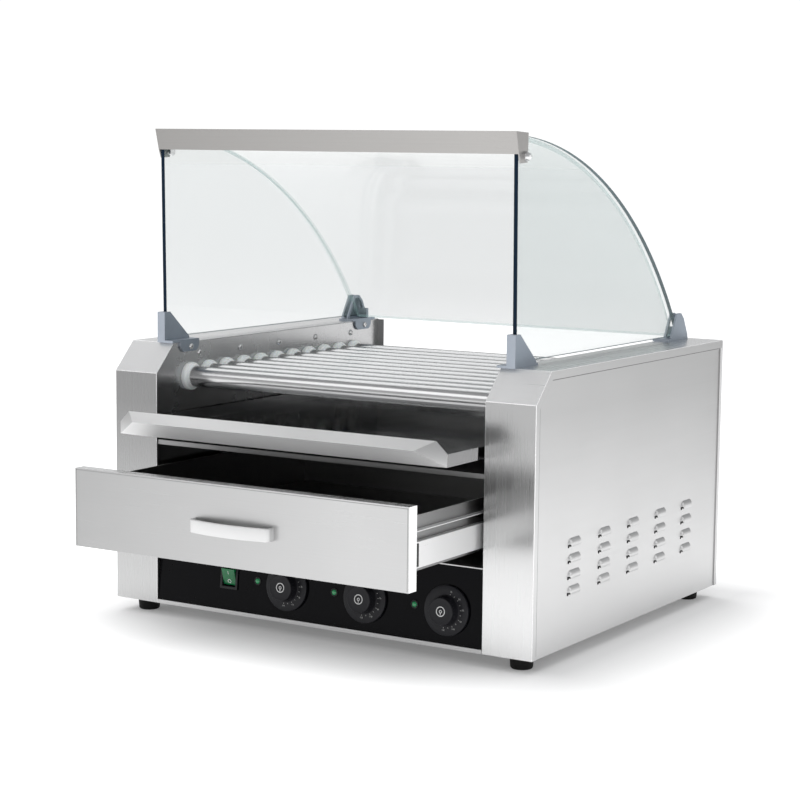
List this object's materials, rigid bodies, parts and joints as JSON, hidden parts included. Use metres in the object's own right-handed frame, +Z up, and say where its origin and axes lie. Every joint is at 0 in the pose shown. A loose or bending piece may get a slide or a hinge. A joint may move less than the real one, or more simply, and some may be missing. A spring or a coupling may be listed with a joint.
{
  "type": "hot dog roller grill",
  "caption": "Countertop hot dog roller grill with driven heated rollers, curved glass hood, slide-out drip tray, heated bun drawer and rotary thermostats.",
  "frame": {"origin": "centre of the object's footprint on the surface that it stands on, with the tray and drawer partly open as at rest", "axes": "+Z up, -Y out of the operator's side with the drawer, +X to the right when facing that side, rollers along X"},
  "size_m": [0.584, 0.669, 0.5866],
  "materials": {
    "brushed_steel": "fine horizontal brushing, satin",
    "polished_steel": "bright polished",
    "dark_steel": "plain mill finish",
    "cast_metal": "satin blue-grey coat",
    "handle_metal": "bright satin",
    "glass": "clear, pale green edges",
    "ptfe": "smooth waxy white",
    "ceramic": "unglazed white",
    "fascia_gloss": "glossy black",
    "black_plastic": "satin black moulding",
    "green_lens": "translucent green",
    "rubber": "matt black"
  },
  "bodies": {
    "root": {"base_pan": "brushed_steel", "left_end_cover": "brushed_steel", "right_end_cover": "brushed_steel", "left_side_panel": "brushed_steel", "right_side_panel": "brushed_steel", "left_inner_plate": "polished_steel", "right_inner_plate": "polished_steel", "rear_panel": "brushed_steel", "rear_posts": "brushed_steel", "rear_deck": "brushed_steel", "control_fascia": "fascia_gloss", "control_shelf": "brushed_steel", "tray_shelf": "polished_steel", "tray_rails": "dark_steel", "drawer_rails": "dark_steel", "left_roller_seals": "ptfe", "right_roller_seals": "ptfe", "roller_heaters": "dark_steel", "heater_rail": "brushed_steel", "gear_motor": "dark_steel", "motor_bracket": "brushed_steel", "drive_chain": "dark_steel", "warmer_element": "dark_steel", "thermostats": "dark_steel", "indicator_lamps": "green_lens", "switch_housing": "black_plastic", "terminal_block": "ceramic", "wiring_loom": "black_plastic", "cable_gland": "black_plastic", "feet": "rubber", "foot_screws": "dark_steel", "left_side_glass": "glass", "right_side_glass": "glass", "curved_glass": "glass", "glass_header": "brushed_steel", "header_bolts": "polished_steel", "glass_clips": "cast_metal", "plate_screws": "polished_steel"},
    "drip_tray": {"drip_tray": "polished_steel"},
    "bun_drawer": {"drawer_box": "brushed_steel", "drawer_front": "brushed_steel", "drawer_handle": "handle_metal", "drawer_runners": "polished_steel", "handle_screws": "dark_steel"},
    "knob_front": {"knob_front": "black_plastic"},
    "knob_back": {"knob_back": "black_plastic"},
    "knob_warm": {"knob_warm": "black_plastic"},
    "power_rocker": {"power_rocker": "green_lens"},
    "motor_output": {"motor_sprocket": "dark_steel"},
    "roller_01": {"roller_01": "polished_steel"},
    "roller_02": {"roller_02": "polished_steel"},
    "roller_03": {"roller_03": "polished_steel"},
    "roller_04": {"roller_04": "polished_steel"},
    "roller_05": {"roller_05": "polished_steel"},
    "roller_06": {"roller_06": "polished_steel"},
    "roller_07": {"roller_07": "polished_steel"},
    "roller_08": {"roller_08": "polished_steel"},
    "roller_09": {"roller_09": "polished_steel"},
    "roller_10": {"roller_10": "polished_steel"},
    "roller_11": {"roller_11": "polished_steel"}
  },
  "joints": [
    {"name": "roller_01_spin", "type": "hinge", "parent": "root", "child": "roller_01", "pos_m": [0, -0.1035, 0.2874], "axis": [1, 0, 0], "continuous": true, "deforming": ["drive_chain"]},
    {"name": "roller_02_spin", "type": "hinge", "parent": "root", "child": "roller_02", "pos_m": [0, -0.0675, 0.2874], "axis": [1, 0, 0], "continuous": true},
    {"name": "roller_03_spin", "type": "hinge", "parent": "root", "child": "roller_03", "pos_m": [0, -0.0315, 0.2874], "axis": [1, 0, 0], "continuous": true},
    {"name": "roller_04_spin", "type": "hinge", "parent": "root", "child": "roller_04", "pos_m": [0, 0.0045, 0.2874], "axis": [1, 0, 0], "continuous": true},
    {"name": "roller_05_spin", "type": "hinge", "parent": "root", "child": "roller_05", "pos_m": [0, 0.0405, 0.2874], "axis": [1, 0, 0], "continuous": true},
    {"name": "roller_06_spin", "type": "hinge", "parent": "root", "child": "roller_06", "pos_m": [0, 0.0765, 0.2874], "axis": [1, 0, 0], "continuous": true},
    {"name": "roller_07_spin", "type": "hinge", "parent": "root", "child": "roller_07", "pos_m": [0, 0.1125, 0.2874], "axis": [1, 0, 0], "continuous": true},
    {"name": "roller_08_spin", "type": "hinge", "parent": "root", "child": "roller_08", "pos_m": [0, 0.1485, 0.2874], "axis": [1, 0, 0], "continuous": true},
    {"name": "roller_09_spin", "type": "hinge", "parent": "root", "child": "roller_09", "pos_m": [0, 0.1845, 0.2874], "axis": [1, 0, 0], "continuous": true},
    {"name": "roller_10_spin", "type": "hinge", "parent": "root", "child": "roller_10", "pos_m": [0, 0.2205, 0.2874], "axis": [1, 0, 0], "continuous": true},
    {"name": "roller_11_spin", "type": "hinge", "parent": "root", "child": "roller_11", "pos_m": [0, 0.2565, 0.2874], "axis": [1, 0, 0], "continuous": true},
    {"name": "motor_spin", "type": "hinge", "parent": "root", "child": "motor_output", "pos_m": [0, 0.0765, 0.20022], "axis": [1, 0, 0], "continuous": true},
    {"name": "drip_tray_slide", "type": "slide", "parent": "root", "child": "drip_tray", "axis": [0, -1, 0], "range_m": [-0.068, 0.36]},
    {"name": "bun_drawer_slide", "type": "slide", "parent": "root", "child": "bun_drawer", "axis": [0, -1, 0], "range_m": [-0.15, 0.13]},
    {"name": "knob_front_turn", "type": "hinge", "parent": "root", "child": "knob_front", "pos_m": [-0.037, -0.1627, 0.05836], "axis": [0, -0.9963, 0.0854], "range_deg": [-270, 0]},
    {"name": "knob_back_turn", "type": "hinge", "parent": "root", "child": "knob_back", "pos_m": [0.0715, -0.1627, 0.05836], "axis": [0, -0.9963, 0.0854], "range_deg": [-270, 0]},
    {"name": "knob_warm_turn", "type": "hinge", "parent": "root", "child": "knob_warm", "pos_m": [0.18, -0.1627, 0.05836], "axis": [0, -0.9963, 0.0854], "range_deg": [-270, 0]},
    {"name": "power_rocker_tilt", "type": "hinge", "parent": "root", "child": "power_rocker", "pos_m": [-0.121, -0.15949, 0.0606], "axis": [1, 0, 0], "range_deg": [-20, 0]}
  ],
  "couplings": [
    {"joint": "roller_02_spin", "follows": "roller_01_spin", "ratio": 1},
    {"joint": "roller_03_spin", "follows": "roller_01_spin", "ratio": 1},
    {"joint": "roller_04_spin", "follows": "roller_01_spin", "ratio": 1},
    {"joint": "roller_05_spin", "follows": "roller_01_spin", "ratio": 1},
    {"joint": "roller_06_spin", "follows": "roller_01_spin", "ratio": 1},
    {"joint": "roller_07_spin", "follows": "roller_01_spin", "ratio": 1},
    {"joint": "roller_08_spin", "follows": "roller_01_spin", "ratio": 1},
    {"joint": "roller_09_spin", "follows": "roller_01_spin", "ratio": 1},
    {"joint": "roller_10_spin", "follows": "roller_01_spin", "ratio": 1},
    {"joint": "roller_11_spin", "follows": "roller_01_spin", "ratio": 1},
    {"joint": "motor_spin", "follows": "roller_01_spin", "ratio": 1}
  ]
}
